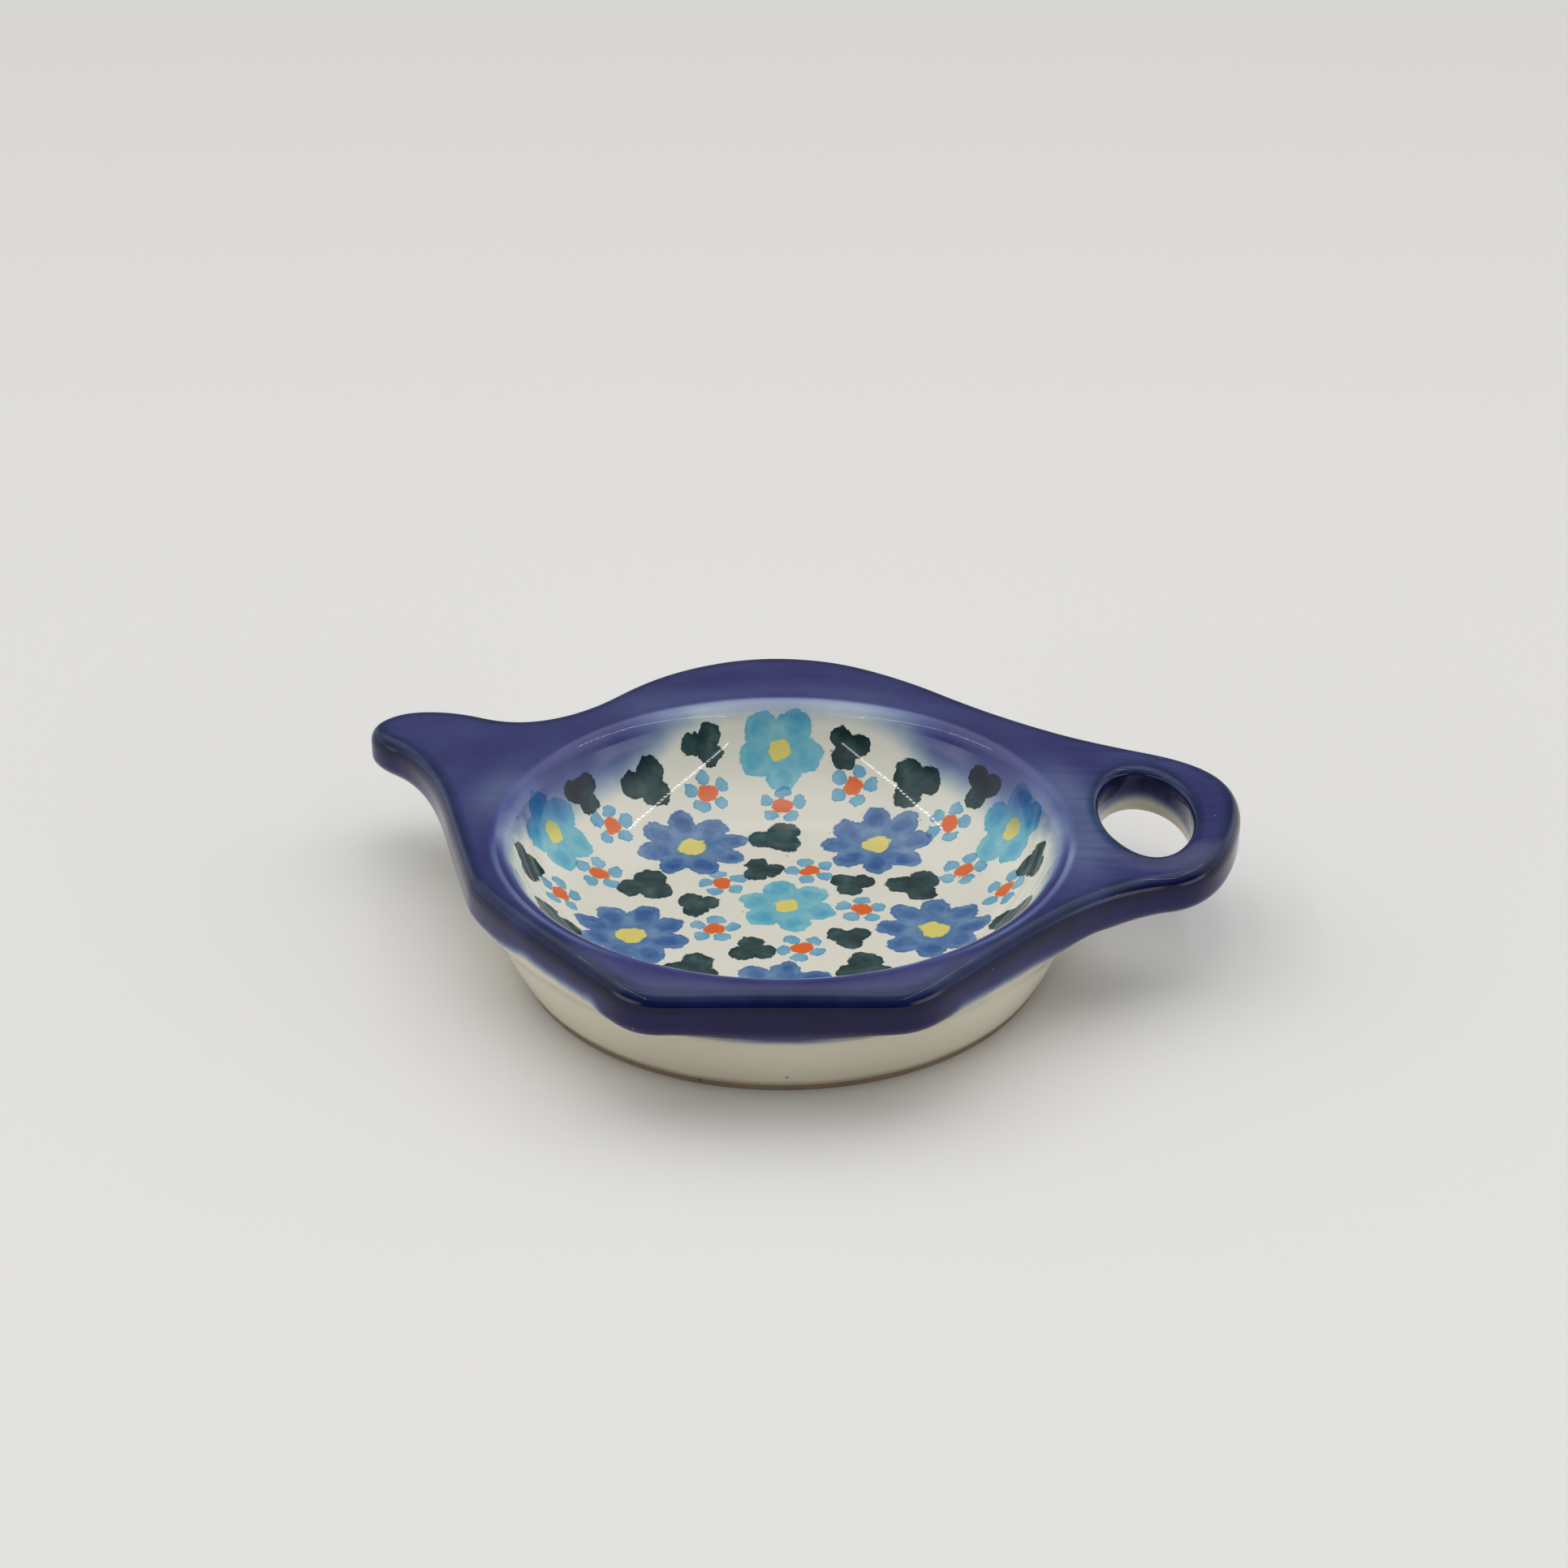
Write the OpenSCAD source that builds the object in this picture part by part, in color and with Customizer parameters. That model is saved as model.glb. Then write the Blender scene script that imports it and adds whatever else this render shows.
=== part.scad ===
// Tea bag rest: a shallow round well in a teapot-shaped rim, one fired clay body in glazed stoneware.
// The well's axis stands on the table at the origin. X runs to the handle, Y to the pot's lid, Z up.

/* [Well] */
// Overall height of the rest
rest_h = 18.6; // [16.5:0.1:22]
// Radius at which the flat rim ends and the lip's round edge starts down into the well
lip_r = 39.6; // [36:0.1:44]
// Radius of the lip's round edge
lip_round_r = 3.2; // [2:0.1:4]
// Lean of the well's wall from upright, in degrees
wall_lean = 25; // [20:0.5:32]
// Radius of the wide cove that the well's wall runs down to its floor in
cove_r = 17; // [12:0.5:20]
// Height of the well's floor above the table
floor_z = 6; // [5:0.1:7.5]
// Thickness of the painted glaze that lines the well
glaze_t = 0.4; // [0.2:0.05:0.8]

/* [Outer wall] */
// How far the wall's top stands outside the lip, under the rim
wall_flare = 1; // [0.6:0.1:2]
// How far the wall's foot stands outside the foot ring
wall_step = 0.2; // [0.1:0.1:1]
// Swell of the wall between its foot and its top
wall_swell = 0.5; // [0.2:0.1:1]

/* [Foot ring] */
// Radius of the unglazed foot ring, outside
foot_r = 36; // [33.5:0.1:37.5]
// Width of the foot ring
foot_w = 3; // [2.2:0.1:4]
// Height of the foot ring
foot_h = 0.8; // [0.6:0.1:1.5]
// Radius of the foot ring's rubbed edges
foot_edge_r = 0.3; // [0.1:0.05:0.5]

/* [Rim] */
// Thickness of the rim
rim_t = 7; // [5.5:0.1:8]
// Radius of the rim's rounded top edge
edge_top_r = 1.4; // [1:0.1:2.4]
// Radius of the rim's rounded lower edge
edge_low_r = 2; // [1.2:0.1:2.4]
// Width of the ring of rim that carries the spout, the lid's crest and the handle
ring_w = 2; // [1.6:0.1:2.5]

/* [Front edge] */
// Width of the straight front edge, between its two corners
front_w = 36.6; // [30:0.1:42]
// Width of the rim between the lip and the straight front edge
front_rim_w = 3.4; // [2.5:0.1:5]
// How far the front edge sits to the handle's side, less than zero for the spout's side
front_shift = -0.9; // [-3:0.1:3]
// How far along each edge a front corner starts to round
front_corner = 4.4; // [2:0.1:8]

/* [Spout side] */
// Width of the rim at the side, below the spout
side_rim_w = 4.4; // [3.6:0.1:7]
// Direction of the side's outline point, in degrees from the handle's side
side_angle = 191; // [187:0.5:195]
// Width of the rim at the shoulder, between the side and the front
shoulder_rim_w = 4.5; // [3.6:0.1:6]
// Direction of the shoulder's outline point, in degrees
shoulder_angle = 203; // [200:0.5:207]

/* [Spout] */
// How far the spout's tip reaches past the lip
spout_reach = 22.5; // [18:0.1:28]
// How far the spout's tip sits behind the well's axis
spout_rise = 30.2; // [26:0.1:34]
// How far the spout's upper corner sits in from its tip
nose_top_in = 9.4; // [7:0.1:12]
// How far the spout's upper corner sits behind its tip
nose_top_rise = 8.6; // [6:0.1:11]
// How far the spout's lower corner sits in from its tip
nose_low_in = 11.9; // [9:0.1:14]
// How far the spout's lower corner sits in front of its tip
nose_low_drop = 9.5; // [7:0.1:12]
// Width of the rim at the notch between the spout and the lid
notch_rim_w = 5.5; // [4.5:0.1:8]
// Direction of the notch, in degrees
notch_angle = 139; // [136:0.5:142]

/* [Lid] */
// How far the lid's crest reaches past the lip
crest_reach = 13.9; // [10:0.1:18]
// Width between the two corners of the crest
crest_w = 25; // [20:0.1:30]
// How far the crest sits to the handle's side, less than zero for the spout's side
crest_shift = -3.2; // [-6:0.1:3]
// How much further back the crest's corner on the handle's side sits
crest_step = 2.9; // [0:0.1:4]

/* [Handle] */
// Width of the handle's oval hole, across the handle
hole_w = 12.8; // [10:0.1:15]
// Length of the handle's oval hole, along Y
hole_length = 23.4; // [18:0.1:27]
// How far the hole's middle sits behind the well's axis
hole_y = 5.4; // [3:0.1:9]
// Turn of the hole, in degrees
hole_turn = 2; // [-8:0.5:8]
// Width of clay between the narrow ring of rim and the hole
hole_gap = 1.8; // [1.6:0.1:4]
// Width of clay between the hole and the handle's end
loop_w = 6.5; // [5:0.1:9]
// How far the handle's two outline corners lie past the hole's ends
loop_side_w = 2.7; // [2:0.1:5]
// How far the handle's corners sit to the front of the hole's middle
loop_drop = 1.7; // [0:0.1:4]
// How much further out the handle's back corner sits
loop_step = 6; // [0:0.1:9]
// Width of the rim at the handle's front root
root_front_rim_w = 6.7; // [5.5:0.1:9]
// Direction of the handle's front root, in degrees
root_front_angle = -17.5; // [-20:0.5:-15]
// Width of the rim at the handle's back root
root_back_rim_w = 7.6; // [6:0.1:10]
// Direction of the handle's back root, in degrees
root_back_angle = 37.5; // [35:0.5:40]
// Radius of the hole's rounded edges
hole_edge_r = 1; // [0.7:0.1:1.5]

/* [Hidden] */
// Segments round a circle
round_fn = 128;
// Points on each rounded corner of the outline, an odd number so that one lies at the corner's middle
corner_steps = 11;
// Steps across a rounded edge
edge_steps = 4;
// Steps along an arc of a turned profile
arc_steps = 8;
// Points on the seam between the ring of rim and the handle
seam_steps = 14;
// Overrun of a cut
overrun = 1;
// A corner length longer than any edge, so that the whole edge is rounded
whole_edge = 4 * lip_r;

clay = [0.86, 0.83, 0.76];
bare_clay = [0.72, 0.64, 0.54];
ivory = [0.9, 0.87, 0.8];
cobalt = [0.17, 0.19, 0.42];

// Heights and radii that follow from the sizes above
rim_z = rest_h - rim_t;
ring_r = lip_r + ring_w;
wall_top_r = lip_r + wall_flare;
hole_x = ring_r + hole_gap + hole_w / 2;

// The well's wall is a short straight line that touches the lip's round edge above and the cove below.
// The cove is no larger than the height between the lip and the floor leaves room for.
bend = 1 - sin(wall_lean);
cove = min(cove_r, (rest_h - floor_z) / bend - lip_round_r);
round_end_r = lip_r - lip_round_r * cos(wall_lean);
round_end_z = rest_h - lip_round_r * bend;
cove_top_z = floor_z + cove * bend;
cove_top_r = round_end_r - (round_end_z - cove_top_z) * tan(wall_lean);
floor_r = cove_top_r - cove * cos(wall_lean);
foot_inner_r = foot_r - foot_w;
wall_foot_r = foot_r + wall_step;

function polar(r, angle) = r * [cos(angle), sin(angle)];
function unit(v) = v / norm(v);

// Outline of the rim seen from above, as corners in turn round the teapot's shape.
// Each is a place and how far along its edges it rounds.
handle_x = hole_x + hole_w / 2 + loop_w;
handle_y = hole_y - loop_drop;
handle_half = hole_length / 2 + loop_side_w;
spout_tip = [-(lip_r + spout_reach), spout_rise];
outline_corners = [
    [[front_w / 2 + front_shift, -(lip_r + front_rim_w)], front_corner],
    [polar(lip_r + root_front_rim_w, root_front_angle), whole_edge],
    [[handle_x - loop_step / 2, handle_y - handle_half], whole_edge],
    [[handle_x + loop_step / 2, handle_y + handle_half], whole_edge],
    [polar(lip_r + root_back_rim_w, root_back_angle), whole_edge],
    [[crest_shift + crest_w / 2, lip_r + crest_reach + crest_step / 2], whole_edge],
    [[crest_shift - crest_w / 2, lip_r + crest_reach - crest_step / 2], whole_edge],
    [polar(lip_r + notch_rim_w, notch_angle), whole_edge],
    [spout_tip + [nose_top_in, nose_top_rise], whole_edge],
    [spout_tip, whole_edge],
    [spout_tip + [nose_low_in, -nose_low_drop], whole_edge],
    [polar(lip_r + side_rim_w, side_angle), whole_edge],
    [polar(lip_r + shoulder_rim_w, shoulder_angle), whole_edge],
    [[front_shift - front_w / 2, -(lip_r + front_rim_w)], front_corner]
];
root_front_index = 1;
root_back_index = 4;
notch_index = 7;
nose_low_index = 10;

// A corner is one smooth curve that leaves both edges along their own line
function corner_place(before, at, after, t) =
    (1 - t) * (1 - t) * before + 2 * t * (1 - t) * at + t * t * after;
function corner_run(before, at, after, t) = (1 - t) * (at - before) + t * (after - at);
function edge_point(from, to, cut) = from + (to - from) * min(cut / norm(to - from), 0.5);

// A station is a place on the outline, its outward direction and 1 where the edge is rounded, 0 on a seam
function corner_stations(i) =
    let (
        count = len(outline_corners),
        here = outline_corners[i],
        before = edge_point(here[0], outline_corners[(i + count - 1) % count][0], here[1]),
        after = edge_point(here[0], outline_corners[(i + 1) % count][0], here[1])
    )
    [for (k = [0 : corner_steps - 1])
        let (
            t = (k + 0.5) / corner_steps,
            run = unit(corner_run(before, here[0], after, t))
        )
        [corner_place(before, here[0], after, t), [run[1], -run[0]], 1]];
outline = [for (i = [0 : len(outline_corners) - 1]) each corner_stations(i)];

// Where the rim is parted: at the middle of a root or the notch, and at the end of the spout's lower curve
function middle_of(corner) = corner * corner_steps + (corner_steps - 1) / 2;
cut_root_front = middle_of(root_front_index);
cut_root_back = middle_of(root_back_index);
cut_notch = middle_of(notch_index);
cut_nose = (nose_low_index + 1) * corner_steps - 1;

// The stations from one cut to the next, round past the end of the list where need be
function stretch(from, to) =
    let (last = to < from ? to + len(outline) : to)
    [for (i = [from : last]) outline[i % len(outline)]];

// A parting line runs square to the outline, in to the ring that carries the spout, crest and handle
function seam_angle(cut) =
    let (
        at = outline[cut][0],
        out = outline[cut][1],
        reach = at * out,
        depth = reach - sqrt(reach * reach - at * at + ring_r * ring_r),
        foot = at - out * depth
    )
    atan2(foot[1], foot[0]);
function seam(from, to, count) =
    let (
        start = seam_angle(from),
        turn = (seam_angle(to) - start + 360) % 360
    )
    [for (k = [0 : count - 1])
        let (angle = start + turn * k / (count - 1))
        [polar(ring_r, angle), polar(1, angle), 0]];
function reversed(list) = [for (i = [len(list) - 1 : -1 : 0]) list[i]];

spout_edge = stretch(cut_notch, cut_nose);
crest_edge = stretch(cut_root_back, cut_notch);
handle_edge = stretch(cut_root_front, cut_root_back);
open_edge = stretch(cut_nose, cut_root_front);
spout_seam = seam(cut_notch, cut_nose, len(spout_edge));
crest_seam = seam(cut_root_back, cut_notch, len(crest_edge));
handle_seam = seam(cut_root_front, cut_root_back, seam_steps);

// Levels of a rounded edge from the top down, each an inset and a height
function edge_levels(top_r, low_r) = concat(
    [for (k = [0 : edge_steps])
        let (a = 90 * k / edge_steps)
        [top_r * (1 - sin(a)), rest_h - top_r * (1 - cos(a))]],
    [for (k = [0 : edge_steps])
        let (a = 90 * k / edge_steps)
        [low_r * (1 - cos(a)), rim_z + low_r * (1 - sin(a))]]
);
rim_levels = edge_levels(edge_top_r, edge_low_r);
hole_levels = edge_levels(hole_edge_r, hole_edge_r);
plain_levels = [[0, rest_h], [0, rim_z]];

function level_points(loop, levels) =
    [for (l = levels) for (s = loop) concat(s[0] - s[1] * l[0] * s[2], l[1])];

// Side faces of a loop of m stations over its levels, turned outwards, or inwards round a hole
function side_faces(m, levels, first, inwards) =
    [for (j = [0 : levels - 2]) for (i = [0 : m - 1])
        let (
            k = (i + 1) % m,
            a = first + j * m + i,
            b = first + j * m + k,
            c = b + m,
            d = a + m
        )
        each inwards ? [[c, b, a], [d, c, a]] : [[a, b, c], [a, c, d]]];

// Flat top and bottom faces between two rows of equal length
function cap_faces(outer, inner, closed, top) =
    [for (i = [0 : len(outer) - (closed ? 1 : 2)])
        let (
            k = (i + 1) % len(outer),
            a = outer[i],
            b = outer[k],
            c = inner[k],
            d = inner[i]
        )
        each top ? [[c, b, a], [d, c, a]] : [[a, b, c], [a, c, d]]];
function row(first, count) = [for (i = [0 : count - 1]) first + i];

// A plate with a hole: the outer loop and the loop of the hole have as many stations each
module ring_plate(outer, outer_levels, hole, levels) {
    m = len(outer);
    last = (len(outer_levels) - 1) * m;
    hole_first = last + m;
    hole_last = hole_first + (len(levels) - 1) * m;
    polyhedron(
        points = concat(level_points(outer, outer_levels), level_points(hole, levels)),
        faces = concat(
            side_faces(m, len(outer_levels), 0, false),
            side_faces(m, len(levels), hole_first, true),
            cap_faces(row(0, m), row(hole_first, m), true, true),
            cap_faces(row(last, m), row(hole_last, m), true, false)
        ),
        convexity = 6
    );
}

// A plate between a stretch of the outline and the seam behind it
module strip_plate(edge, back) {
    m = len(edge);
    loop = concat(edge, reversed(back));
    last = (len(rim_levels) - 1) * 2 * m;
    polyhedron(
        points = level_points(loop, rim_levels),
        faces = concat(
            side_faces(2 * m, len(rim_levels), 0, false),
            cap_faces(row(0, m), reversed(row(m, m)), false, true),
            cap_faces(row(last, m), reversed(row(last + m, m)), false, false)
        ),
        convexity = 6
    );
}

// The well's surface from the lip to the floor, set back into the clay by a depth
function well_curve(depth) = concat(
    [for (k = [0 : arc_steps])
        let (a = (90 - wall_lean) * k / arc_steps)
        [lip_r - (lip_round_r - depth) * sin(a), rest_h - lip_round_r + (lip_round_r - depth) * cos(a)]],
    [for (k = [0 : arc_steps])
        let (a = wall_lean + (90 - wall_lean) * k / arc_steps)
        [floor_r + (cove + depth) * cos(a), floor_z + cove - (cove + depth) * sin(a)]]
);

// The outer wall swells a little between its foot and its top
function outer_wall() =
    let (
        low = [wall_foot_r, foot_h],
        high = [wall_top_r, rim_z],
        pull = (low + high) / 2 + [2 * wall_swell, 0]
    )
    [for (k = [0 : arc_steps]) corner_place(low, pull, high, k / arc_steps)];

// The bare ring of clay that the rest stands on, wiped clean of glaze before firing
module foot_ring() {
    color(bare_clay)
        rotate_extrude($fn = round_fn)
            polygon(concat(
                [[foot_inner_r, foot_h]],
                [for (k = [0 : arc_steps])
                    let (a = 90 * k / arc_steps)
                    [foot_inner_r + foot_edge_r * (1 - cos(a)), foot_edge_r * (1 - sin(a))]],
                [for (k = [0 : arc_steps])
                    let (a = 90 * k / arc_steps)
                    [foot_r - foot_edge_r * (1 - sin(a)), foot_edge_r * (1 - cos(a))]],
                [[foot_r, foot_h]]
            ));
}

// The flat bottom of the bowl, under the painted glaze, as far as the floor of the well is flat
module bowl_floor() {
    color(clay)
        translate([0, 0, foot_h])
            cylinder(r = floor_r, h = floor_z - glaze_t - foot_h, $fn = round_fn);
}

// The bowl's wall, from the flat bottom and the foot ring up to the lip, thick where it turns the corner
module bowl_wall() {
    color(clay)
        rotate_extrude($fn = round_fn)
            polygon(concat(
                [[floor_r, foot_h]],
                outer_wall(),
                [[lip_r, rim_z]],
                well_curve(glaze_t)
            ));
}

// The painted and glazed lining of the well, fused to the bowl
module well_glaze() {
    color(ivory)
        rotate_extrude($fn = round_fn)
            polygon(concat(
                well_curve(0),
                [[0, floor_z], [0, floor_z - glaze_t]],
                reversed(well_curve(glaze_t))
            ));
}

// The rim round the well: a narrow ring at the back, full width at the sides and the straight front
module rim() {
    loop = concat(
        open_edge,
        handle_seam,
        [for (i = [1 : len(crest_seam) - 1]) crest_seam[i]],
        [for (i = [1 : len(spout_seam) - 1]) spout_seam[i]]
    );
    inner_r = lip_r - overrun;
    inner = [for (s = loop) [inner_r * unit(s[0]), unit(s[0]), 0]];
    color(cobalt)
        difference() {
            ring_plate(loop, rim_levels, inner, plain_levels);
            translate([0, 0, rim_z - overrun])
                cylinder(r = lip_r, h = rim_t + 2 * overrun, $fn = round_fn);
        }
}

// The domed crest at the back, the lid of the teapot's shape
module lid_crest() {
    color(cobalt) strip_plate(crest_edge, crest_seam);
}

// The spout of the teapot's shape
module spout() {
    color(cobalt) strip_plate(spout_edge, spout_seam);
}

// The handle with its oval hole
module handle() {
    loop = concat(handle_edge, reversed(handle_seam));
    middle = [hole_x, hole_y];
    half_w = hole_w / 2;
    half_l = hole_length / 2;
    hole = [for (s = loop)
        let (
            to = s[0] - middle,
            bearing = atan2(to[1], to[0]) - hole_turn,
            reach = 1 / norm([cos(bearing) / half_w, sin(bearing) / half_l]),
            local = polar(reach, bearing),
            facing = unit([local[0] / pow(half_w, 2), local[1] / pow(half_l, 2)]),
            out = polar(1, atan2(facing[1], facing[0]) + hole_turn)
        )
        [middle + polar(reach, bearing + hole_turn), -out, 1]];
    color(cobalt) ring_plate(loop, rim_levels, hole, hole_levels);
}

foot_ring();
bowl_floor();
bowl_wall();
well_glaze();
rim();
lid_crest();
spout();
handle();
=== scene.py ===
import math

import bmesh
import bpy
import numpy as np
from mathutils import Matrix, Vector


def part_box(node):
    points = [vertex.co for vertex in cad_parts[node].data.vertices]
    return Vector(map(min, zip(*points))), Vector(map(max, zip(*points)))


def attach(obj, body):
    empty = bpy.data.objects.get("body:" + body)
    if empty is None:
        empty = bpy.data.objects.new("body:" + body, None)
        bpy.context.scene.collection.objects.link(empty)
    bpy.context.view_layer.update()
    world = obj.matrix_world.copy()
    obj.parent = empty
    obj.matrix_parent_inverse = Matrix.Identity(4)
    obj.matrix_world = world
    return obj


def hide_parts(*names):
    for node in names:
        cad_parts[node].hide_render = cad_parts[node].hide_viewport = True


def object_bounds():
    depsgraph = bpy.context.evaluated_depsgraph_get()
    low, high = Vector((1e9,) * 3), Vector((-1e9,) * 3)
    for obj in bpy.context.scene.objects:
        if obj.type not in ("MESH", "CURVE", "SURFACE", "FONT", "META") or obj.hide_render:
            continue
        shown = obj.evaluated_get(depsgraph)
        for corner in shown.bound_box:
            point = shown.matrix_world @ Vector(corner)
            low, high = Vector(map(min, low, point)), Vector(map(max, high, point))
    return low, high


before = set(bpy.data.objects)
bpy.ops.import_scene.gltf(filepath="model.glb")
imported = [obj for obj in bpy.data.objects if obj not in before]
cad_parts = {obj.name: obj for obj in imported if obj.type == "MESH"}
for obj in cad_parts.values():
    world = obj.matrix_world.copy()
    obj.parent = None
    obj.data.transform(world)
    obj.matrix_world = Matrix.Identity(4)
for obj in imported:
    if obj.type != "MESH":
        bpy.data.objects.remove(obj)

cad_low, cad_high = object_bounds()
mm = 0.001


# Foot ring
# The bare stoneware ring that the rest stands on. It is turned with the bowl, wiped free of glaze
# before firing and rubbed smooth afterwards, so it stays matt, grainy and a little darker.

def srgb(red, green, blue):
    """A colour as it is read off a colour card, from 0 to 255, as linear light."""
    def linear(value):
        share = value / 255
        return share / 12.92 if share <= 0.04045 else ((share + 0.055) / 1.055) ** 2.4
    return (linear(red), linear(green), linear(blue), 1.0)


class Recipe:
    """The nodes of a material or a tool, added one after another as a glaze recipe is written."""

    def __init__(self, tree):
        self.tree = tree

    def node(self, kind, inputs=(), **settings):
        made = self.tree.nodes.new(kind)
        for name, value in settings.items():
            setattr(made, name, value)
        for name, value in dict(inputs).items():
            self.feed(made.inputs[name], value)
        return made

    def feed(self, socket, value):
        if isinstance(value, bpy.types.NodeSocket):
            self.tree.links.new(value, socket)
        elif value is not None:
            socket.default_value = value

    def sum(self, operation, a, b=None, c=None):
        made = self.node("ShaderNodeMath", operation=operation)
        for socket, value in zip(made.inputs, (a, b, c)):
            self.feed(socket, value)
        return made.outputs[0]

    def vector(self, operation, a, b=None, c=None):
        made = self.node("ShaderNodeVectorMath", operation=operation)
        for socket, value in zip(made.inputs, (a, b, c)):
            self.feed(socket, value)
        return made.outputs["Value" if operation in ("LENGTH", "DISTANCE", "DOT_PRODUCT") else 0]

    def joined(self, x, y, z=0.0):
        return self.node("ShaderNodeCombineXYZ", {"X": x, "Y": y, "Z": z}).outputs[0]

    def parted(self, vector):
        return self.node("ShaderNodeSeparateXYZ", {0: vector}).outputs

    def ramp(self, value, low, high, to_low=0.0, to_high=1.0):
        """A soft step from to_low to to_high as value goes from low to high."""
        made = self.node("ShaderNodeMapRange", interpolation_type="SMOOTHSTEP")
        for name, number in (("Value", value), ("From Min", low), ("From Max", high),
                             ("To Min", to_low), ("To Max", to_high)):
            self.feed(made.inputs[name], number)
        return made.outputs["Result"]

    def mix(self, share, first, second):
        made = self.node("ShaderNodeMix", data_type="RGBA")
        self.feed(made.inputs["Factor"], share)
        for name, value in (("A", first), ("B", second)):
            self.feed([s for s in made.inputs if s.name == name and s.type == "RGBA"][0], value)
        return [s for s in made.outputs if s.type == "RGBA"][0]

    def place(self):
        """The place on the piece in millimetres."""
        return self.scaled(self.node("ShaderNodeTexCoord").outputs["Object"], 1 / mm)

    def scaled(self, vector, factor):
        made = self.node("ShaderNodeVectorMath", operation="SCALE")
        self.feed(made.inputs[0], vector)
        self.feed(made.inputs["Scale"], factor)
        return made.outputs[0]

    def noise(self, place, size, detail=2.0, roughness=0.5):
        """A noise about its middle, from -0.5 to 0.5, whose blobs are about size millimetres across."""
        made = self.node("ShaderNodeTexNoise", {"Vector": place, "Scale": 1 / size,
                                                "Detail": detail, "Roughness": roughness})
        return self.sum("SUBTRACT", made.outputs["Fac"], 0.5)

    def specks(self, place, spacing, radius, share):
        """Small round dots in a loose grid, in only a share of its cells."""
        cells = self.node("ShaderNodeTexVoronoi", {"Vector": place, "Scale": 1 / spacing})
        chance = self.node("ShaderNodeSeparateColor", {"Color": cells.outputs["Color"]}).outputs
        size = self.sum("MULTIPLY", chance["Green"], radius / spacing)
        dot = self.sum("LESS_THAN", cells.outputs["Distance"], size)
        return self.sum("MULTIPLY", dot, self.sum("LESS_THAN", chance["Red"], share))

    def relief(self, *layers):
        """The surface normal over layers of relief, each a field and its depth in millimetres."""
        normal = None
        for field, depth in layers:
            made = self.node("ShaderNodeBump", {"Height": field, "Distance": depth * mm})
            self.feed(made.inputs["Normal"], normal)
            normal = made.outputs[0]
        return normal


def new_material(name):
    """An empty material, its shader's inputs and the recipe that its nodes are added to."""
    material = bpy.data.materials.new(name)
    material.use_nodes = True
    return material, material.node_tree.nodes["Principled BSDF"].inputs, Recipe(material.node_tree)


bare_clay, finish, clay = new_material("bare_clay")
spot = clay.place()
clay_cloud = clay.sum("ADD", clay.noise(spot, 6, detail=4), 0.5)
clay_tone = clay.mix(clay_cloud, srgb(128, 108, 88), srgb(158, 138, 114))
clay_grit = clay.specks(spot, 0.9, 0.3, 0.25)
clay.feed(finish["Base Color"], clay.mix(clay.sum("MULTIPLY", clay_grit, 0.6), clay_tone, srgb(98, 76, 58)))
clay.feed(finish["Normal"], clay.relief(
    (clay.noise(spot, 0.3, detail=3), 0.05), (clay.noise(spot, 2.2), 0.1)))
finish["Roughness"].default_value = 0.85
finish["Specular IOR Level"].default_value = 0.25


def wheel_tree():
    """A potter's wheel: it turns a section, given as points in X and Z, once round the Z axis."""
    same_place = 0.001 * mm
    tree = bpy.data.node_groups.new("potters_wheel", "GeometryNodeTree")
    for name, kind in (("Section", "Geometry"), ("Steps round", "Int"), ("Finish", "Material")):
        tree.interface.new_socket(name, in_out="INPUT", socket_type="NodeSocket" + kind)
    tree.interface.new_socket("Turned piece", in_out="OUTPUT", socket_type="NodeSocketGeometry")
    wheel = Recipe(tree)
    given = wheel.node("NodeGroupInput").outputs
    rows = wheel.node("GeometryNodeAttributeDomainSize", {0: given["Section"]}).outputs["Point Count"]
    blank = wheel.node("GeometryNodeMeshGrid", {
        "Vertices X": wheel.sum("ADD", given["Steps round"], 1), "Vertices Y": rows})
    index = wheel.node("GeometryNodeInputIndex").outputs[0]
    step = wheel.sum("FLOOR", wheel.sum("DIVIDE", index, rows))
    point = wheel.node("GeometryNodeSampleIndex", {
        "Geometry": given["Section"],
        "Index": wheel.sum("SUBTRACT", index, wheel.sum("MULTIPLY", step, rows))}, data_type="FLOAT_VECTOR")
    wheel.feed([s for s in point.inputs if s.name == "Value" and s.enabled][0],
               wheel.node("GeometryNodeInputPosition").outputs[0])
    section = wheel.parted([s for s in point.outputs if s.enabled][0])
    turn = wheel.sum("MULTIPLY", wheel.sum("DIVIDE", step, given["Steps round"]), 2 * math.pi)
    place = wheel.joined(wheel.sum("MULTIPLY", section["X"], wheel.sum("COSINE", turn)),
                         wheel.sum("MULTIPLY", section["X"], wheel.sum("SINE", turn)), section["Z"])
    shaped = wheel.node("GeometryNodeSetPosition", {
        "Geometry": blank.outputs["Mesh"], "Position": place}).outputs[0]
    closed = wheel.node("GeometryNodeMergeByDistance", {"Geometry": shaped, "Distance": same_place})
    whole = wheel.node("GeometryNodeRealizeInstances", {0: closed.outputs[0]})
    coated = wheel.node("GeometryNodeSetMaterial", {
        "Geometry": whole.outputs[0], "Material": given["Finish"]})
    wheel.node("NodeGroupOutput", {0: coated.outputs[0]})
    return tree


potters_wheel = wheel_tree()
steps_round = 360
crease = math.radians(40)


def finished(piece):
    """Turns a closed piece's faces outwards and shades it smooth, apart from its creases."""
    work = bmesh.new()
    work.from_mesh(piece.data)
    bmesh.ops.recalc_face_normals(work, faces=work.faces)
    work.to_mesh(piece.data)
    work.free()
    piece.data.shade_smooth()
    piece.data.set_sharp_from_angle(angle=crease)
    return piece


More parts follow.
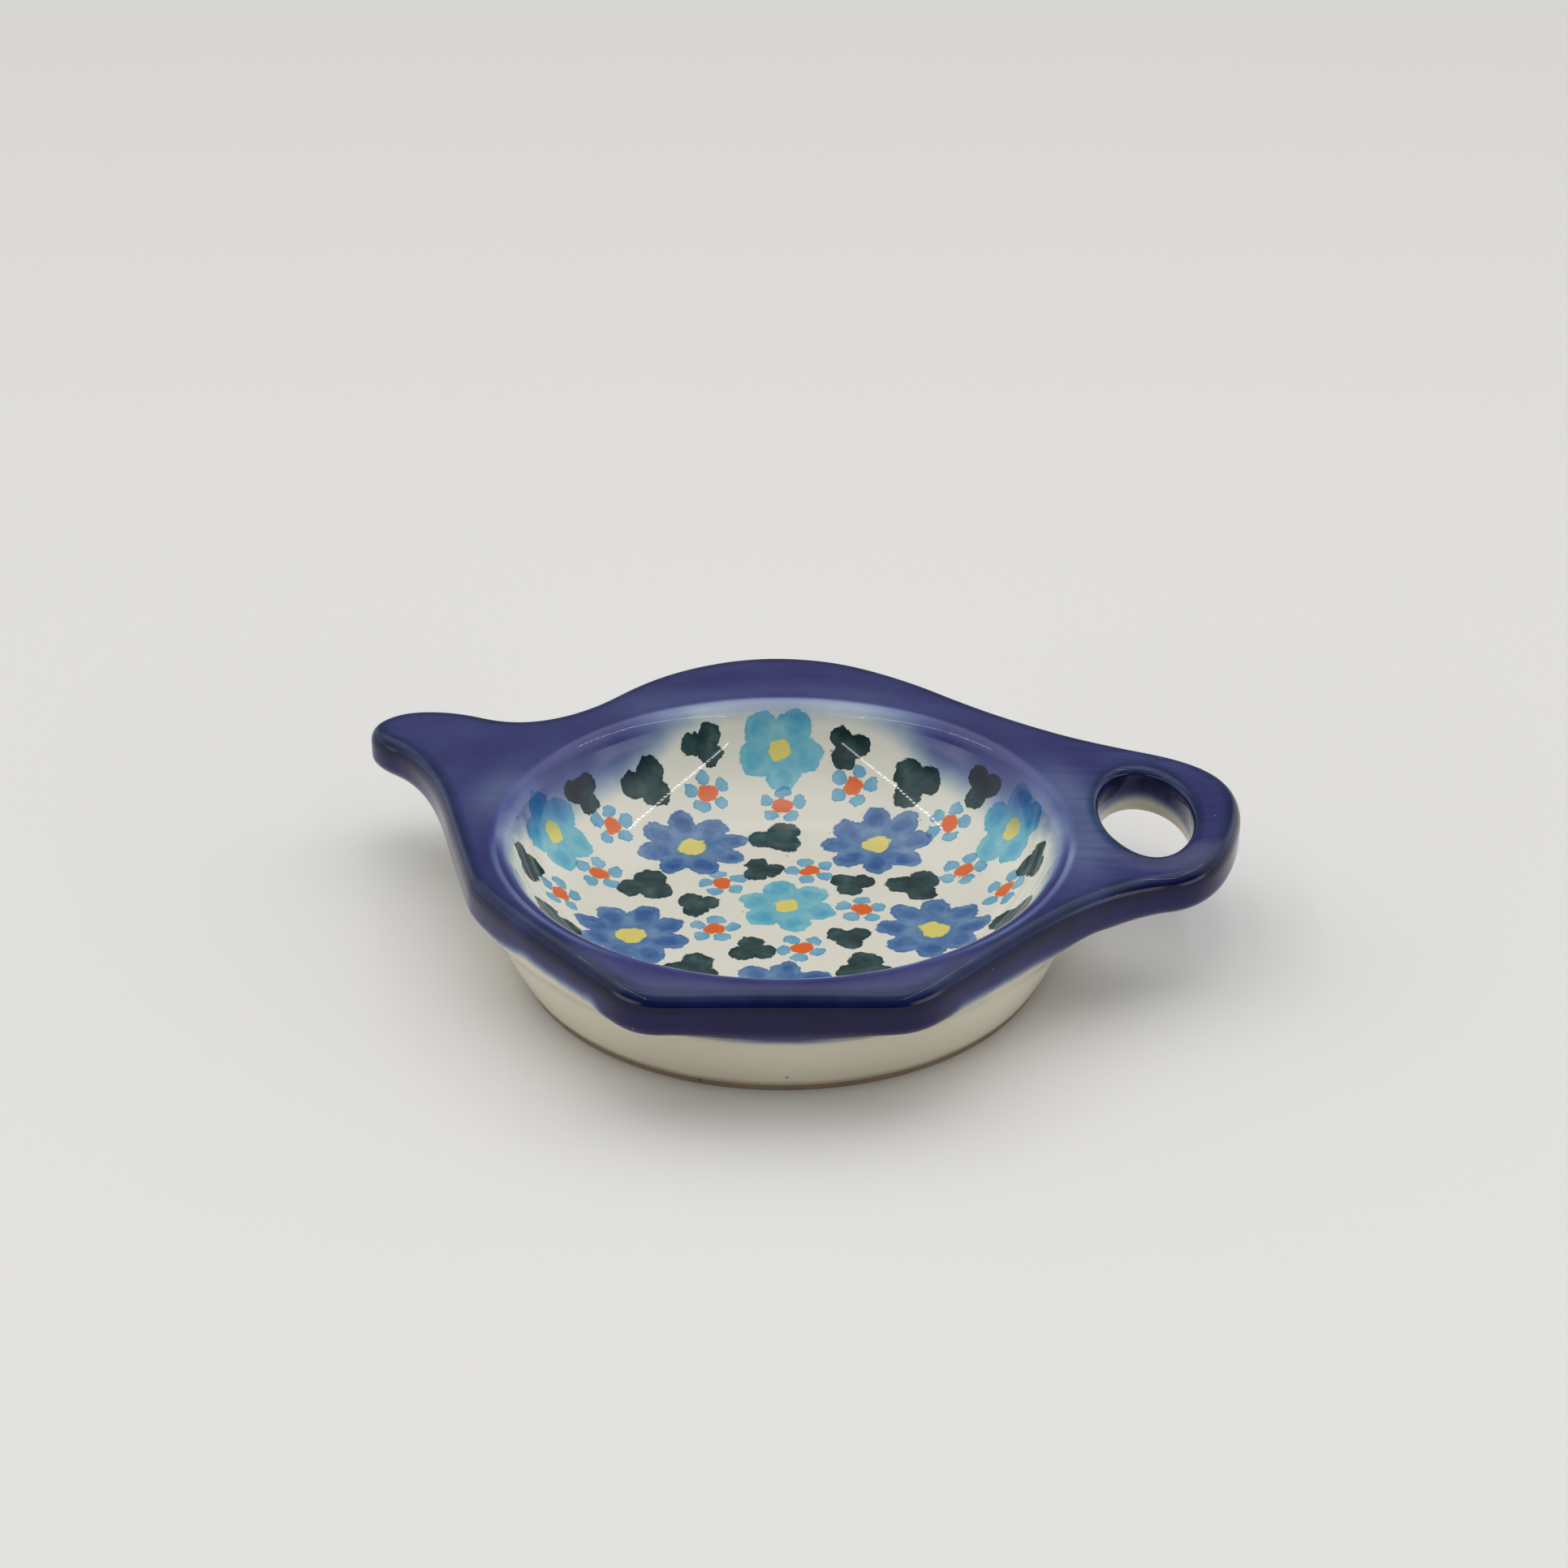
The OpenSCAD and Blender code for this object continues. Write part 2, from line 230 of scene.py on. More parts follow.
def turned(name, section, material):
    """A closed piece turned from the points (radius, height) of its section, in millimetres."""
    points = bpy.data.meshes.new(name + "_section")
    points.from_pydata([(r * mm, 0, z * mm) for r, z in section], [], [])
    piece = bpy.data.objects.new(name, points)
    bpy.context.scene.collection.objects.link(piece)
    wheel = piece.modifiers.new("wheel", "NODES")
    wheel.node_group = potters_wheel
    for socket in potters_wheel.interface.items_tree:
        if socket.name == "Steps round":
            wheel[socket.identifier] = steps_round
        if socket.name == "Finish":
            wheel[socket.identifier] = material
    seen = piece.evaluated_get(bpy.context.evaluated_depsgraph_get())
    mesh = bpy.data.meshes.new_from_object(seen)
    piece.modifiers.remove(wheel)
    piece.data = mesh
    return finished(piece)


def bow(centre_r, centre_z, radius, start, end, steps=12):
    """Points of a section along an arc, between two directions in degrees from outwards to upwards."""
    turns = np.radians(np.linspace(start, end, steps + 1))
    return [(centre_r + radius * math.cos(a), centre_z + radius * math.sin(a)) for a in turns]


foot_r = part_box("foot_ring")[1].x / mm
foot_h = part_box("foot_ring")[1].z / mm
foot_w = 3
foot_edge_r = 0.3

foot = turned("foot", [(foot_r - foot_w, foot_h)]
              + bow(foot_r - foot_w + foot_edge_r, foot_edge_r, foot_edge_r, 180, 270)
              + bow(foot_r - foot_edge_r, foot_edge_r, foot_edge_r, 270, 360)
              + [(foot_r, foot_h), (foot_r - foot_w, foot_h)], bare_clay)
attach(foot, "root")
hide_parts("foot_ring")


# Bowl
# The bowl's floor and wall, thrown in cream stoneware with a wall that leans out and swells a little.
# Outside it has only the clear glaze, which shows the clay's warm tone, darker and browner just above the
# foot.

rest_h = cad_high.z / mm
rim_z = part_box("rim")[0].z / mm
lip_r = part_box("well_glaze")[1].x / mm
wall_top_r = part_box("bowl_wall")[1].x / mm
wall_foot_r = foot_r + 0.2
wall_swell = 0.5
glaze_t = 0.4
floor_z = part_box("well_glaze")[0].z / mm + glaze_t
floor_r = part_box("bowl_floor")[1].x / mm
wall_lean = 25
lip_round_r = 3.2
cove_r = 17
lip_steps = 24
cove_steps = 20
wall_steps = 24
base_edge_r = 0.3
base_edge_steps = 6
base_hollow = 1.5
base_slope_w = 3


def wall_r(z):
    """The radius of the bowl's outer wall at a height."""
    t = (z - foot_h) / (rim_z - foot_h)
    middle_r = (wall_foot_r + wall_top_r) / 2 + 2 * wall_swell
    return (1 - t) ** 2 * wall_foot_r + 2 * t * (1 - t) * middle_r + t ** 2 * wall_top_r


def well_section(depth):
    """The well's section from the lip to the middle of its floor, set back into the clay by a depth."""
    return (bow(lip_r, rest_h - lip_round_r, lip_round_r - depth, 90, 180 - wall_lean, lip_steps)
            + bow(floor_r, floor_z + cove_r, cove_r + depth, -wall_lean, -90, cove_steps)
            + [(0, floor_z - depth)])


ivory = srgb(219, 216, 203)


def clear_glaze(recipe, finish, spot, colour, speckled=0.55):
    """A clear gloss glaze over a colour: fine waves and pits, and a few dark specks of iron in the clay."""
    iron = recipe.specks(spot, 3.1, 0.3, 0.4)
    coated = recipe.mix(recipe.sum("MULTIPLY", iron, speckled), colour, srgb(70, 60, 52))
    recipe.feed(finish["Base Color"], coated)
    recipe.feed(finish["Roughness"], recipe.ramp(recipe.noise(spot, 4), -0.4, 0.4, 0.035, 0.06))
    recipe.feed(finish["Normal"], recipe.relief(
        (recipe.noise(spot, 9, detail=1), 0.05), (recipe.noise(spot, 0.8, detail=2), 0.0012)))
    finish["IOR"].default_value = 1.5
    finish["Specular IOR Level"].default_value = 0.45


def body_tone(recipe, spot):
    """The cream clay under clear glaze, darker and browner in a band just above the foot."""
    height = recipe.parted(spot)["Z"]
    cloud = recipe.sum("ADD", recipe.noise(spot, 11, detail=3), 0.5)
    tone = recipe.mix(cloud, srgb(213, 207, 185), srgb(224, 218, 198))
    # A band just above the foot is painted darker and browner.
    toward_foot = recipe.ramp(recipe.sum("ADD", height, recipe.noise(spot, 5)), foot_h + 1.6, foot_h + 0.1)
    return recipe.mix(recipe.sum("MULTIPLY", toward_foot, 0.55), tone, srgb(160, 138, 108))


glazed_body, finish, clear = new_material("glazed_body")
spot = clear.place()
clear_glaze(clear, finish, spot, body_tone(clear, spot))

bowl = turned("bowl", [(0, foot_h + base_hollow), (foot_r / 2, foot_h + base_hollow * 0.9),
                       (foot_r - foot_w - base_slope_w, foot_h + base_hollow * 0.6),
                       (foot_r - foot_w, foot_h)]
              + bow(wall_foot_r - base_edge_r, foot_h + base_edge_r, base_edge_r, -90, 0, base_edge_steps)
              + [(wall_r(z), z) for z in np.linspace(foot_h + 2 * base_edge_r, rim_z, wall_steps)]
              + [(lip_r, rim_z)] + well_section(glaze_t), glazed_body)
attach(bowl, "root")
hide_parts("bowl_wall", "bowl_floor")


# Teapot rim with its spout, lid crest and handle
# One slab of clay cut to a teapot's outline, luted to the bowl while both are leather hard and sponged
# until its edges are round and it runs into the wall. It is washed with watery cobalt under the glaze.

# How far the rounding reaches: in and down at the upper edge, in at the lower edge, out and down at the
# root, where the slab runs into the bowl's wall, and at the edges of the handle's hole
edge_in = 1.5
edge_down = 2.2
low_edge = 2.3
root_in = 2.6
root_down = 3.2
hole_edge = 1.1
waist_z = rim_z + 2
slip_room = 0.04
ring_r = lip_r + 2
narrow_overhang = 3.2
wide_overhang = 7
outline_steps = 900
top_rows = 12
side_rows = 4
edge_rows = 10
patch_rows = 8
hole_edge_rows = 8
hole_side_rows = 4


def cad_outline():
    """The rim's outline at its widest, as the CAD solids have it, in turn round the well's axis."""
    level_slack, ring_slack, closest = 0.01, 0.05, 0.02
    spots = []
    for name in ("rim", "lid_crest", "spout", "handle"):
        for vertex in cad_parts[name].data.vertices:
            x, y, z = vertex.co / mm
            if abs(z - waist_z) < level_slack and math.hypot(x, y) > ring_r + ring_slack:
                spots.append((x, y))
    spots = np.array(sorted(spots, key=lambda p: math.atan2(p[1], p[0])))
    apart = np.linalg.norm(spots - np.roll(spots, 1, 0), axis=1)
    return spots[apart > closest]


def smooth_loop(points, count, soften=0.6, longest=2.5, between=30):
    """A smooth closed curve through points, as evenly spaced places and their outward directions."""
    filled = []
    for here, after in zip(points, np.roll(points, -1, 0)):
        parts = max(1, round(np.linalg.norm(after - here) / longest))
        filled += [here + (after - here) * k / parts for k in range(parts)]
    points = np.array(filled)
    n = len(points)
    after = np.roll(points, -1, 0)
    length = np.linalg.norm(after - points, axis=1)
    slope = (after - points) / length[:, None]
    system = np.zeros((n, n))
    for i in range(n):
        system[i, i] = 2 * (length[i - 1] + length[i])
        system[i, (i + 1) % n] += length[i]
        system[i, i - 1] += length[i - 1]
    bend = np.linalg.solve(system, 6 * (slope - np.roll(slope, 1, 0)))
    t = np.linspace(0, 1, between, endpoint=False)[None, :, None]
    here, next_bend, size = points[:, None], np.roll(bend, -1, 0)[:, None], length[:, None, None]
    fine = ((1 - t) * here + t * after[:, None]
            + size ** 2 / 6 * (((1 - t) ** 3 - (1 - t)) * bend[:, None] + (t ** 3 - t) * next_bend))
    fine = fine.reshape(-1, 2)
    ring = np.vstack([fine, fine[:1]])
    along = np.concatenate([[0], np.cumsum(np.linalg.norm(np.diff(ring, axis=0), axis=1))])
    even = np.linspace(0, along[-1], count, endpoint=False)
    curve = np.column_stack([np.interp(even, along, ring[:, k]) for k in (0, 1)])
    waves = np.fft.fftfreq(count, along[-1] / count)
    curve = np.fft.ifft(np.fft.fft(curve, axis=0) * np.exp(-2 * (np.pi * waves * soften) ** 2)[:, None],
                        axis=0).real
    run = np.roll(curve, -1, 0) - np.roll(curve, 1, 0)
    out = np.column_stack([run[:, 1], -run[:, 0]])
    return curve, out / np.linalg.norm(out, axis=1)[:, None]


outline, outward = smooth_loop(cad_outline(), outline_steps)
outline = outline - outward * slip_room
hole_middle = np.array([49.8, 5.4])
hole_half = np.array([6.4, 11.7])
hole_turn = math.radians(2)


def polar(radius, angle):
    """Places at a radius and an angle from the well's axis."""
    return np.column_stack([radius * np.cos(angle), radius * np.sin(angle)])


def angle_of(places):
    """The angle at which places lie round the well's axis."""
    return np.arctan2(places[..., 1], places[..., 0])


def smooth_step(value, low, high):
    """A soft step from 0 to 1 as value goes from low to high."""
    t = np.clip((value - low) / (high - low), 0, 1)
    return t * t * (3 - 2 * t)


def inset_of(places):
    """How far places lie in from the outline, seen from above."""
    return np.array([np.linalg.norm(outline - p, axis=1).min() for p in places])


def spout_thinning(places):
    """How much thinner the slab is above and below, out in the spout."""
    return 0.5 * smooth_step(-places[:, 0], 42, 54)


def hand_sag(places):
    """How far the slab's top has sunk under sponge and fire: its edges droop and it waves a little."""
    x, y = places.T
    wave = (np.sin(0.21 * x + 0.13 * y + 0.4) + np.sin(0.33 * y - 0.12 * x + 2.1)
            + np.sin(0.47 * x + 0.9)) / 3
    droop = (0.12 + 0.25 * smooth_step(-y, 25, 40)) * np.exp(-inset_of(places) / 3)
    handle = 0.05 * smooth_step(x, 44, 55) + 0.75 * smooth_step(x, 38, 50) * smooth_step(-y, 2, 11)
    ends = handle + 0.5 * spout_thinning(places)
    return (0.05 * (1 + wave) + droop + ends) * smooth_step(np.hypot(x, y) - lip_r, 0, 4)


class Slab:
    """The slab's mesh as it grows, row by row."""

    def __init__(self):
        self.places = []
        self.faces = []

    def row(self, flat, height):
        """Adds a row of places at a height, or at a height each, and returns their numbers."""
        first = len(self.places)
        heights = np.broadcast_to(height, len(flat))
        self.places += [(x, y, z) for (x, y), z in zip(flat, heights)]
        return np.arange(first, len(self.places))

    def weave(self, upper, lower, left_open=None):
        """Joins two rows by faces, apart from where they are left open."""
        for i in range(len(upper)):
            k = (i + 1) % len(upper)
            if left_open is None or not (left_open[i] and left_open[k]):
                self.faces.append((upper[i], lower[i], lower[k], upper[k]))


slab = Slab()
reach = np.linalg.norm(outline, axis=1)
overhang = reach - wall_top_r
bearing = angle_of(outline)
handle_from, handle_to = math.radians(-17), math.radians(37)
handle_span = (bearing > handle_from) & (bearing < handle_to)

# The top runs from the lip out to where the edge starts to round
edge_start = outline - outward * edge_in
top_shares = np.concatenate([[0, 0.03], np.linspace(0, 1, top_rows + 1)[1:]])
lip_edge = polar(lip_r, angle_of(edge_start))
top = [slab.row(lip_edge + (edge_start - lip_edge) * share, rest_h) for share in top_shares]
for inner, outer in zip(top, top[1:]):
    slab.weave(outer, inner, handle_span)

# The edge rounds over into an upright side
last = top[-1]
for a in np.linspace(0, np.pi / 2, edge_rows + 1)[1:]:
    level = slab.row(outline - outward * edge_in * (1 - math.sin(a)),
                     rest_h - edge_down * (1 - math.cos(a)))
    slab.weave(level, last)
    last = level
for share in np.linspace(0, 1, side_rows + 1)[1:]:
    level = slab.row(outline, rest_h - edge_down + (rim_z + low_edge - rest_h + edge_down) * share)
    slab.weave(level, last)
    last = level

# Below, a wide overhang rounds under, lies flat and curves down the wall; a narrow one is one soft curve
round_in = np.minimum(low_edge, overhang / 2)
root_out = np.minimum(root_in, overhang / 2)
root_z = rim_z - root_down
lean_step = 0.1
lean = (wall_r(root_z + lean_step) - wall_r(root_z)) / lean_step
under_edge = outline - outward * round_in[:, None]
under_angle = angle_of(under_edge)
soft_lean = 0.8
soft_rise = 0.3
wide_share = smooth_step(overhang, narrow_overhang, wide_overhang)[:, None]
flat_shares = np.linspace(0, 1, len(top))[1:]
under_rows = []
wide = [(outline - outward * (round_in * (1 - math.cos(a)))[:, None], rim_z + low_edge * (1 - math.sin(a)))
        for a in np.linspace(0, np.pi / 2, edge_rows + 1)[1:]]
root_edge = polar(wall_top_r + root_out, under_angle)
wide += [(under_edge + (root_edge - under_edge) * share, rim_z) for share in flat_shares]
bend_r = wall_r(root_z) + lean * root_down
for t in np.linspace(0, 1, edge_rows + 1)[1:]:
    r = (1 - t) ** 2 * (wall_top_r + root_out) + 2 * t * (1 - t) * bend_r + t ** 2 * wall_r(root_z)
    wide.append((polar(r, under_angle), (1 - t ** 2) * rim_z + t ** 2 * root_z))
for number, (place, height) in enumerate(wide):
    t = (number + 1) / len(wide)
    shares = np.array([(1 - t) ** 3, 3 * t * (1 - t) ** 2, 3 * t ** 2 * (1 - t), t ** 3])
    radii = np.stack([reach, reach, wall_r(root_z) + lean * root_down * soft_lean + 0 * reach,
                      wall_r(root_z) + 0 * reach])
    soft = polar(shares @ radii, bearing)
    soft_z = shares @ [rim_z + low_edge, rim_z + soft_rise, root_z + root_down * soft_lean, root_z]
    level = slab.row(soft + (place - soft) * wide_share,
                     soft_z + (height - soft_z) * wide_share[:, 0])
    under_rows.append(level)
    flat = edge_rows <= number < edge_rows + len(flat_shares)
    slab.weave(level, last, handle_span if flat else None)
    last = level

# Inside the bowl's wall it closes up to the lip again
closing_in, closing_up = 0.5, 0.4
closing = slab.row(polar(wall_r(root_z) - closing_in, under_angle), root_z + closing_up)
slab.weave(closing, last)
core = slab.row(polar(lip_r, under_angle), rim_z)
slab.weave(core, closing)
slab.weave(top[0], core)

# The handle's oval hole, whose edges are rounded like the rim's
span = np.flatnonzero(handle_span)
span = span[np.argsort(bearing[span])]


def border(rows):
    """The edge of the handle's patch, out along the rim's edge, in, along the lip and out again."""
    outer, inner = rows[-1], rows[0]
    inward = [row[span[-1]] for row in rows[-2:0:-1]]
    outward_again = [row[span[0]] for row in rows[1:-1]]
    return np.array([*outer[span], *inward, *inner[span[::-1]], *outward_again])


def hole_place(directions, grow):
    """Places on the oval of the hole, grown by a length, in given directions from its middle."""
    half = hole_half + grow
    turned_to = directions - hole_turn
    radius = 1 / np.hypot(np.cos(turned_to) / half[0], np.sin(turned_to) / half[1])
    return hole_middle + polar(radius, directions)


def patch(rows, height, grow):
    """Fills the handle's patch between its border and the oval, and returns the oval's row."""
    edge = border(rows)
    edge_flat = np.array([slab.places[i][:2] for i in edge])
    directions = np.unwrap(angle_of(edge_flat - hole_middle))
    oval = hole_place(directions, grow)
    last = edge
    for share in np.linspace(0, 1, patch_rows + 1)[1:]:
        level = slab.row(edge_flat + (oval - edge_flat) * share, height)
        slab.weave(last, level)
        last = level
    return last, directions


upper_oval, upper_directions = patch(top, rest_h, hole_edge)
flat_rows = [under_rows[edge_rows - 1 + k] for k in range(len(flat_shares) + 1)][::-1]
lower_oval, lower_directions = patch(flat_rows, rim_z, hole_edge)
last = upper_oval
quarter = np.linspace(0, np.pi / 2, hole_edge_rows + 1)
levels = [(hole_edge * (1 - math.sin(a)), rest_h - hole_edge * (1 - math.cos(a))) for a in quarter[1:]]
levels += [(0, z) for z in np.linspace(rest_h - hole_edge, rim_z + hole_edge, hole_side_rows + 1)[1:-1]]
levels += [(hole_edge * (1 - math.cos(a)), rim_z + hole_edge * (1 - math.sin(a))) for a in quarter[:-1]]
for number, (grow, height) in enumerate(levels):
    share = (number + 1) / (len(levels) + 1)
    directions = upper_directions + (lower_directions - upper_directions) * share
    level = slab.row(hole_place(directions, grow), height)
    slab.weave(last, level)
    last = level
slab.weave(last, lower_oval)

places = np.array(slab.places)
used = np.unique(np.array(slab.faces))
renamed = np.zeros(len(places), int)
renamed[used] = np.arange(len(used))
places = places[used]
faces = renamed[np.array(slab.faces)]
high = smooth_step(places[:, 2], rim_z, rest_h)
inset = inset_of(places[:, :2])
places[:, 2] += spout_thinning(places) * (1 - high) - hand_sag(places[:, :2]) * high
slab_mesh = bpy.data.meshes.new("teapot_rim")
slab_mesh.from_pydata((places * mm).tolist(), [], faces.tolist())
slab_mesh.attributes.new("inset", "FLOAT", "POINT").data.foreach_set("value", inset)
hole_mean = hole_half.mean()
hole_distance = np.linalg.norm((places[:, :2] - hole_middle) / hole_half, axis=1) * hole_mean - hole_mean
slab_mesh.attributes.new("from_hole", "FLOAT", "POINT").data.foreach_set("value", hole_distance)
teapot_rim = bpy.data.objects.new("teapot_rim", slab_mesh)
bpy.context.scene.collection.objects.link(teapot_rim)
finished(teapot_rim)


def absorbance(over, seen):
    """How strongly a full coat of a glaze colour darkens red, green and blue over another colour."""
    return [-math.log(s / o) for o, s in zip(over[:3], seen[:3])]


def coats(recipe, ground, *layers):
    """A ground under transparent coats, each a thickness and its absorbance, as glaze colours lie."""
    total = (0, 0, 0)
    for thickness, absorbs in layers:
        total = recipe.vector("MULTIPLY_ADD", thickness, tuple(absorbs), total)
    dark = recipe.parted(total)
    light = [recipe.sum("EXPONENT", recipe.sum("MULTIPLY", dark[axis], -1)) for axis in "XYZ"]
    return recipe.vector("MULTIPLY", ground, recipe.joined(*light))


# How strongly one full coat darkens red, green and blue
cobalt = (3.31, 2.2, 1.0)
cobalt_depth = (0, 0.96, 0.42)
teal = (2.9, 1.5, 1.3)


def cobalt_wash(recipe, spot):
    """The cobalt wash's thickness: full on the rim, rubbed thin on the lip, with a pale painted highlight
    along it, and fading down into the well.
    It reaches furthest in where the brush swept round from the spout and from the handle."""
    x, y, z = recipe.parted(spot)
    r = recipe.vector("LENGTH", recipe.joined(x, y))
    past_lip = recipe.sum("SUBTRACT", lip_r, r)
    drop = recipe.sum("SUBTRACT", rest_h, z)
    # How far a place lies in over the lip along the surface; outside the well it is below 0
    inside = recipe.sum("GREATER_THAN", past_lip, 0)
    path = recipe.vector("LENGTH", recipe.joined(past_lip, recipe.sum("MULTIPLY", drop, 0.9)))
    signed = recipe.sum("MULTIPLY", path, recipe.sum("MULTIPLY_ADD", inside, 2, -1))
    ahead = recipe.sum("DIVIDE", y, r)
    aside = recipe.sum("DIVIDE", recipe.sum("ABSOLUTE", x), r)
    # The wash fades down into the well, further in along the two sweeps at the back
    sweep = recipe.sum("MULTIPLY", recipe.ramp(aside, 0.3, 0.7), recipe.ramp(ahead, -0.05, 0.4))
    furthest = recipe.sum("MULTIPLY_ADD", sweep, 5.5, recipe.ramp(ahead, -0.9, -0.1, 3.2, 4.4))
    ragged = recipe.sum("ADD", signed, recipe.sum("MULTIPLY", recipe.noise(spot, 5, detail=3), 1.8))
    fade = recipe.ramp(recipe.sum("DIVIDE", ragged, furthest), 1.05, 0.1)
    # It is thin by the lip at the crest and where the spout and the handle begin
    root = recipe.sum("ADD", ahead, recipe.ramp(x, -10, 10, -0.45, 0))
    root = recipe.sum("MULTIPLY", recipe.ramp(aside, 0.84, 0.97), recipe.ramp(root, -0.55, -0.12))
    rubbed = recipe.sum("MULTIPLY_ADD", sweep, 0.62, recipe.ramp(ahead, -0.6, 0.2, 1, 0.45))
    rubbed = recipe.sum("MINIMUM", recipe.sum("MULTIPLY_ADD", root, 0.3, rubbed), 1)
    at_lip = recipe.ramp(signed, 0.1, 1.0, 1, rubbed)
    least = recipe.sum("MULTIPLY_ADD", root, -0.34, recipe.ramp(ahead, 0.72, 0.92, 1, 0.85))
    thinned = recipe.ramp(signed, -7.5, -1.5, 1, least)
    # On the front half the lip itself is painted pale, partly the wash worn thin and partly a painted
    # highlight along the lip's rounding, and the glaze has pooled just inside it
    beside = recipe.sum("MULTIPLY", recipe.ramp(aside, 0.4, 0.75), recipe.ramp(ahead, 0, -0.22))
    # The pale lip line: wash worn thin there, and a painted highlight along the lip's rounding.
    worn_and_highlight = recipe.sum("MULTIPLY", recipe.ramp(signed, -0.5, 0.2), recipe.ramp(signed, 0.9, 0.4))
    pooled = recipe.sum("MULTIPLY", recipe.ramp(signed, 0.5, 1.1), recipe.ramp(signed, 2.3, 1.3))
    lip_line = recipe.sum("SUBTRACT", recipe.sum("MULTIPLY", pooled, 0.4),
                          recipe.sum("MULTIPLY", worn_and_highlight, 0.36))
    cloud = recipe.sum("MULTIPLY_ADD", recipe.noise(spot, 12, detail=4), 0.42, 1)
    cloud = recipe.sum("MULTIPLY_ADD", lip_line, beside, cloud)
    return recipe.sum("MULTIPLY", recipe.sum("MULTIPLY", fade, cloud),
                      recipe.sum("MULTIPLY", at_lip, thinned))


def washed(recipe, thickness):
    """The wash's coats: a thin one is sky blue, and a thick one turns violet and then navy."""
    return [(thickness, cobalt), (recipe.sum("MULTIPLY", thickness, thickness), cobalt_depth)]


def brush_streaks(recipe, spot, angle, fine, long):
    """The bristle marks of a wash laid on in one direction."""
    laid = recipe.node("ShaderNodeMapping", {"Vector": spot, "Rotation": (0, 0, angle),
                                             "Scale": (1 / long, 1 / fine, 1 / long)}).outputs[0]
    return recipe.noise(laid, 1, detail=3)


cobalt_glaze, finish, wash = new_material("cobalt_glaze")
spot = wash.place()
across, behind, height = wash.parted(spot)
streaks = wash.sum("ADD", brush_streaks(wash, spot, 0.35, 0.7, 9), brush_streaks(wash, spot, -0.2, 1.6, 22))
by_handle = wash.ramp(across, 36, 44)
streaky = wash.sum("MULTIPLY_ADD", by_handle, 0.16, 0.06)
thickness = wash.sum("MULTIPLY_ADD", streaks, streaky, wash.sum("MULTIPLY", cobalt_wash(wash, spot), 0.95))
# The wash is painted half again as thick down the slab's sides: painted shade on its upright faces.
side_painted_shade = wash.ramp(height, rest_h - 0.6, rest_h - 2.2, 1, 1.5)
from_hole = wash.node("ShaderNodeAttribute", attribute_name="from_hole").outputs["Fac"]
in_hole = wash.ramp(from_hole, 0.8, 0.1)

# The wash stops in a soft ragged line above the slab's lower edge
lowest = wash.ramp(wash.sum("ABSOLUTE", across), 32, 40, 12, 10.5)
lowest = wash.sum("ADD", lowest, wash.ramp(across, -17, -25, 0, 1))
lowest = wash.sum("MULTIPLY_ADD", in_hole, 2.6, wash.ramp(behind, -36.5, -41, lowest, 9.2))
low_ragged = wash.sum("ADD", wash.sum("SUBTRACT", height, lowest),
                      wash.sum("MULTIPLY", wash.noise(spot, 7, detail=3), 1.2))
reach_down = wash.ramp(low_ragged, 0, wash.ramp(behind, -30, -41, 2.3, 3.4))
reach_down = wash.sum("MULTIPLY", reach_down, wash.ramp(low_ragged, 0.5, 6, 0.68, 1))
thickness = wash.sum("MULTIPLY", wash.sum("MULTIPLY", thickness, side_painted_shade), reach_down)

# The glaze lies thick and greenish along the upper edges
from_edge = wash.node("ShaderNodeAttribute", attribute_name="inset").outputs["Fac"]
line = wash.sum("MAXIMUM", wash.ramp(from_edge, 3, 1), wash.ramp(from_hole, 2.8, 0.9))
line = wash.sum("MULTIPLY", line, wash.ramp(height, rest_h - 3.4, rest_h - 1.6))
line = wash.sum("MULTIPLY", line, wash.sum("MULTIPLY_ADD", wash.noise(spot, 7, detail=3), 1.4, 0.5))

bubbles = wash.specks(spot, 1.9, 0.14, 0.25)
painted = coats(wash, body_tone(wash, spot), *washed(wash, thickness), (line, teal))
painted = wash.mix(wash.sum("MULTIPLY", bubbles, 0.4), painted, srgb(170, 175, 190))
clear_glaze(wash, finish, spot, painted, 0)
finish["Specular IOR Level"].default_value = 0.3
slab_mesh.materials.append(cobalt_glaze)
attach(teapot_rim, "root")
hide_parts("rim", "lid_crest", "spout", "handle")


# Painted lining of the well
# The well is brushed with flowers, leaves and berry dots over an ivory slip and then glazed clear.
# The motifs lie in rings round the middle, each a little off its place, as a hand sets them.

def well_spot(recipe, spot):
    """A place in the well as radius, angle and distance from the middle along the surface."""
    x, y, z = recipe.parted(spot)
    r = recipe.vector("LENGTH", recipe.joined(x, y))
    past_floor = recipe.sum("MAXIMUM", recipe.sum("SUBTRACT", r, floor_r), 0)
    slope = recipe.sum("ARCTAN2", past_floor, recipe.sum("SUBTRACT", floor_z + cove_r, z))
    path = recipe.sum("MULTIPLY_ADD", slope, cove_r, recipe.sum("MINIMUM", r, floor_r))
    return r, recipe.sum("ARCTAN2", y, x), path


